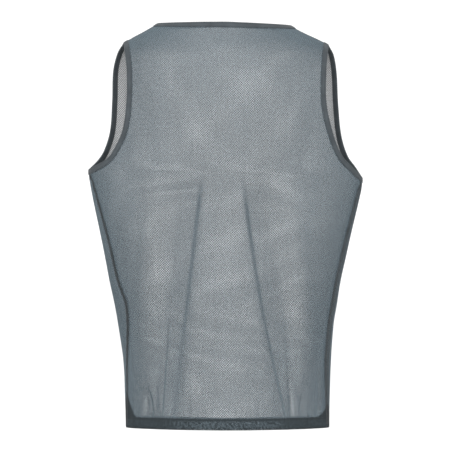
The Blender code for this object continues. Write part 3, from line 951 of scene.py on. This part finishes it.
# Short bent threads from start to end points, joined in one mesh
def layThreads(name, starts, ends, ups, thick, bend):
    bpy.ops.mesh.primitive_uv_sphere_add(segments=stitch["sides"], ring_count=stitch["rings"],
                                         radius=0.5)
    template = bpy.context.object
    shape = np.array([v.co for v in template.data.vertices])[:, [2, 1, 0]]
    faces = [tuple(face.vertices) for face in template.data.polygons]
    bpy.data.objects.remove(template, do_unlink=True)
    points, corners, uv = [], [], []
    for i, (start, end, up) in enumerate(zip(starts, ends, ups)):
        length = np.linalg.norm(end - start)
        way = (end - start) / length
        over = unit(np.cross(up, way))
        rise = np.cross(way, over)
        local = shape * (length, thick, thick)
        local[:, 2] -= bend * (2 * shape[:, 0]) ** 2
        points.append((start + end) / 2 + local @ np.stack((way, over, rise)))
        corners.extend(tuple(i * len(shape) + corner for corner in face) for face in faces)
        uv.append(local[:, :2] + (i * stitch["turn"], 0.0))
    mesh = bpy.data.meshes.new(name)
    mesh.from_pydata(np.concatenate(points).tolist(), [], corners)
    layer = mesh.uv_layers.new(name="UVMap")
    index = np.empty(len(mesh.loops), dtype=np.int32)
    mesh.loops.foreach_get("vertex_index", index)
    layer.data.foreach_set("uv", np.concatenate(uv)[index].ravel())
    piece = bpy.data.objects.new(name, mesh)
    bpy.context.scene.collection.objects.link(piece)
    editMesh(piece, lambda: bpy.ops.mesh.normals_make_consistent(inside=False))
    finishPiece(piece, "binding_knit", None, threadMaterial)
    return piece


# Rows of stitches, each a line on the cloth with its way out
def sewStitches(name, rows):
    starts, ends, ups = [], [], []
    for line, out in rows:
        run = lengthsAlong(line)
        count = int(run[-1] / stitch["pitch"])
        places = (np.arange(count) + 0.5) * run[-1] / count
        starts.extend(alongLine(line, run, places - stitch["length"] / 2))
        ends.extend(alongLine(line, run, places + stitch["length"] / 2))
        ups.extend(alongLine(out, run, places))
    return layThreads(name, starts, ends, ups, stitch["thick"], stitch["bend"])


# A flat seam's threads, laid to and fro across it on the outside
def sewLadder(name, frames, place):
    run = lengthsAlong(frames["line"])
    places = np.arange(0.0, run[-1], ladder["pitch"])
    spots = alongLine(frames["line"], run, places)
    ways = alongLine(frames["into"], run, places)
    ups = unit(alongLine(frames["out"], run, places))
    along = unit(np.gradient(spots, axis=0))
    lean = np.where(np.arange(len(places)) % 2 == 0, 1.0, -1.0)[:, None] * ladder["lean"] / 2
    starts = spots + ways * ladder["first"][place] - along * lean
    ends = spots + ways * ladder["last"][place] + along * lean
    for points in (starts, ends):
        for i, point in enumerate(points):
            spot, way = nearestOn(Vector(point))
            points[i] = spot + way * ladder["lift"]
    return layThreads(name, starts, ends, ups, ladder["thick"][place], ladder["bend"])


# The neck's binding reaches down into the cloth, an armhole's away from the hole's middle
def bindEdge(name, node, line, middle=None):
    line = spacedLine(line, binding["step"], closed=True)
    frames = layFrames(line, -upwards if middle is None else line - middle, closed=True)
    piece = sweepStrip(name, node, frames, bindingProfile(), trimMaterial)
    out = np.concatenate((frames["out"], frames["out"][:1]))
    rows = []
    for into in binding["stitchRows"]:
        top = binding["gap"] + binding["wall"] + outerPuff(into) - binding["dip"]
        spots = spotsAt(frames, into, top + stitch["thick"] * stitch["proud"])
        rows.append((np.concatenate((spots, spots[:1])), out))
    print(name, "made:", len(piece.data.polygons), "faces")
    return piece, sewStitches(name + "Stitches", rows)


# Along the back panel's edge and back along the front panel's
def ringOf(level, across):
    return np.concatenate((clothPoint("back", level, across),
                           clothPoint("front", level, across)[::-1]))


neckRing = ringOf(0.0, np.linspace(0.0, 1.0, binding["neckSteps"] + 1))
neckBinding, neckStitches = bindEdge("neckBinding", "neck_binding", neckRing)

handEnds = {"left": 0.0, "right": 1.0}
armLevels = rowLevels()[panels["shoulderRows"]:][:panels["armholeRows"] + 1]
armBindings, armStitches = {}, {}
for hand, end in handEnds.items():
    ring = ringOf(armLevels, end)
    armBindings[hand], armStitches[hand] = bindEdge(
        "armholeBinding" + hand.title(), "armhole_binding_" + hand, ring, ring.mean(axis=0))
print("bindings made")

# Overlocked allowances, which lie inside the back panel
seam = {
    "step": 0.0006,
    "wall": 0.0011,
    "gap": 0.0002,
    "ridge": 0.00016,
    "corner": 0.3,  # share of the wall
    "wander": 0.0005,  # the sewn edge is uneven by this much
    "wanderWaves": (170, 59),
    "softness": 12,
    "clear": 0.001,  # the side seams start this far below the binding
    "intoHem": 0.3,  # and end at this share of the hem's height
    "shoulderClear": 0.9,  # the shoulder seams' ends lie this far under the bindings
    "width": {"left": 0.0062, "right": 0.0092, "shoulder": 0.0062},
    "start": {"left": -0.0003, "right": -0.0003, "shoulder": -0.0002},
    "hint": {"left": (1.0, 0.0, 0.0), "right": (-1.0, 0.0, 0.0), "shoulder": (0.0, -1.0, -0.3)},
    "sideLevels": 200,
    "shoulderLevels": 60,
}


def overlockStrip(name, node, frames, first, last, wall, top):
    run = np.arange(len(frames["line"])) * seam["step"]
    ridge = seam["ridge"] * np.cos(2 * math.pi * run / overlock["wrap"])
    often, seldom = seam["wanderWaves"]
    last = last + seam["wander"] * np.sin(run * often) * np.sin(run * seldom + 1.0)
    low = top - wall - ridge
    corner = wall * seam["corner"]
    profile = [(first, top), ((first + last) / 2, top), (last - corner, top),
               (last, (top + low) / 2), (last - corner, low),
               (first + (last - first) * 0.7, low - ridge * 0.3),
               (first + (last - first) * 0.35, low), (first, low + corner)]
    return sweepStrip(name, node, frames, profile, overlockMaterial)


# place is left, right or shoulder
def sewSeam(name, node, line, place):
    frames = layFrames(spacedLine(line, seam["step"]), np.array(seam["hint"][place]),
                       sides=("back",), softness=seam["softness"])
    piece = overlockStrip(name, node, frames, seam["start"][place], seam["width"][place],
                          seam["wall"], -bib["wall"] - seam["gap"])
    sewn = [piece, sewLadder(name + "Stitches", frames, place)]
    if place == "right":
        sewn.append(sewLadder(name + "StitchesOuter", frames, "rightOuter"))
    return sewn


def sewSideSeam(hand, end):
    top = bib["underarmLevel"] - binding["width"] - seam["clear"]
    low = bib["hemLevel"] + hemBand["height"] * seam["intoHem"]
    line = clothPoint("back", np.linspace(top, low, seam["sideLevels"]), end)
    return sewSeam("sideSeam" + hand.title(), "side_seam_" + hand, line, hand)


def sewShoulderSeam(hand, end):
    line = clothPoint("back", np.linspace(0.0, bib["tipLevel"], seam["shoulderLevels"]), end)
    run = lengthsAlong(line)
    clear = binding["width"] * seam["shoulderClear"]
    line = line[(run > clear) & (run < run[-1] - clear)]
    return sewSeam("shoulderSeam" + hand.title(), "shoulder_seam_" + hand, line, "shoulder")


seams = []
for hand, end in handEnds.items():
    seams += sewSideSeam(hand, end) + sewShoulderSeam(hand, end)
print("seams made")


def turnUpHem(side):
    across = np.linspace(*hemBand["ends"], panels["columns"] + 1)
    bottom = clothPoint(side, bib["hemLevel"], across)
    run = lengthsAlong(bottom)
    top = np.full_like(across, hemBand["height"])
    for hand, away in (("left", run), ("right", run[-1] - run)):
        near = np.clip(1 - away / hemBand["endReach"][hand], 0.0, 1.0)
        top = top + hemBand["endRise"][hand] * near**2 * hemBand["riseShare"][side]
    often, seldom = hemBand["wanderWaves"]
    top = top + hemBand["wander"] * np.sin(run * often) * np.sin(run * seldom + 0.5)
    frames = layFrames(bottom, upwards, sides=(side,), softness=2)
    outer = -hemBand["wall"] / 2
    inner = -bib["wall"] - hemBand["gap"] - hemBand["wall"] / 2
    centre, radius = (outer + inner) / 2, (outer - inner) / 2
    sheet = []
    for i in range(1, hemBand["turnSteps"] + 1):
        turn = math.pi * i / hemBand["turnSteps"]
        sheet.append(spotsAt(frames, -hemBand["turnOut"] * math.sin(turn) - hemBand["turnStart"],
                             centre + radius * math.cos(turn)))
    for i in range(1, hemBand["rows"] + 1):
        sheet.append(spotsAt(frames, top * i / hemBand["rows"], inner))
    points = np.stack(sheet, axis=0)
    piece = shapedGrid("hem" + side.title(), points, metricRuns(points))
    # the sheet's first side faces into the bib
    faces = piece.data.polygons
    if (faces[len(faces) // 2].normal.y < 0) == (side == "back"):
        editMesh(piece, bpy.ops.mesh.flip_normals)
    thicken(piece, hemBand["wall"] * hemBand["sheetShare"], 0.0)
    finishPiece(piece, "mesh_knit", "hem_" + side, shadedFoldMaterial)

    edge = spacedLine(points[-1], hemBand["overlockStep"])
    edgeFrames = layFrames(edge, -upwards, sides=(side,), softness=3)
    edgeFrames["line"] = np.array([nearestOn(Vector(point), (side,))[0] for point in edge])
    band = overlockStrip("hemEdge" + side.title(), None, edgeFrames, hemBand["overlockStart"],
                         hemBand["overlock"], hemBand["overlockWall"],
                         -bib["wall"] - hemBand["gap"] - hemBand["wall"])
    rows = []
    for drop in hemBand["stitchDrops"]:
        line = clothPoint(side, bib["hemLevel"] + hemBand["height"] - drop, across)
        out = layFrames(line, upwards, sides=(side,))["out"]
        rows.append((line + out * hemBand["stitchLift"], out))
    print(side, "hem made")
    return piece, band, sewStitches("hem" + side.title() + "Stitches", rows)


hems = {side: turnUpHem(side) for side in ("back", "front")}

stage = {
    "floorLevel": -0.80,
    "floorSize": 60.0,
    "floor": {"Base Color": (0.93, 0.93, 0.93, 1.0), "Roughness": 0.9, "Specular IOR Level": 0.1},
    "sky": {"Color": (1.0, 1.0, 1.0, 1.0), "Strength": 1.15},
}


def makeStage():
    bpy.ops.mesh.primitive_plane_add(size=stage["floorSize"], location=(0, 0, stage["floorLevel"]))
    floor = bpy.context.object
    floor.name = "floor"
    material = bpy.data.materials.new("floorPaint")
    material.use_nodes = True
    setInputs(material.node_tree.nodes["Principled BSDF"], stage["floor"])
    floor.data.materials.append(material)
    world = bpy.data.worlds.new("studio")
    world.use_nodes = True
    setInputs(world.node_tree.nodes["Background"], stage["sky"])
    bpy.context.scene.world = world
    bpy.context.scene.view_settings.view_transform = "Standard"


lampTarget = (0.0, 0.0, -0.33)
lamps = {
    "key": {"place": (-0.5, -2.1, 1.5), "size": 1.4, "power": 74.0},
    "fill": {"place": (0.8, -2.4, -0.3), "size": 1.4, "power": 28.0},
}


def makeLamps():
    for name, lamp in lamps.items():
        place = Vector(lamp["place"])
        turn = (Vector(lampTarget) - place).to_track_quat("-Z", "Y").to_euler()
        bpy.ops.object.light_add(type="AREA", location=place, rotation=turn)
        light = bpy.context.object
        light.name = name
        light.data.shape = "SQUARE"
        light.data.size = lamp["size"]
        light.data.energy = lamp["power"]


lens = {
    "distance": 8.0,
    "frameWidth": 0.7774,  # width of the picture at the bib
    "aim": (0.0009, -0.345),
    "sensor": 36.0,
}


def makeCamera():
    x, z = lens["aim"]
    bpy.ops.object.camera_add(location=(x, -lens["distance"], z), rotation=(math.pi / 2, 0, 0))
    camera = bpy.context.object
    camera.name = "camera"
    camera.data.sensor_width = lens["sensor"]
    camera.data.lens = lens["sensor"] * lens["distance"] / lens["frameWidth"]
    camera.data.clip_end = 100.0
    bpy.context.scene.camera = camera


makeStage()
makeLamps()
makeCamera()
print("stage, light and camera made")

bpy.ops.object.select_all(action="DESELECT")
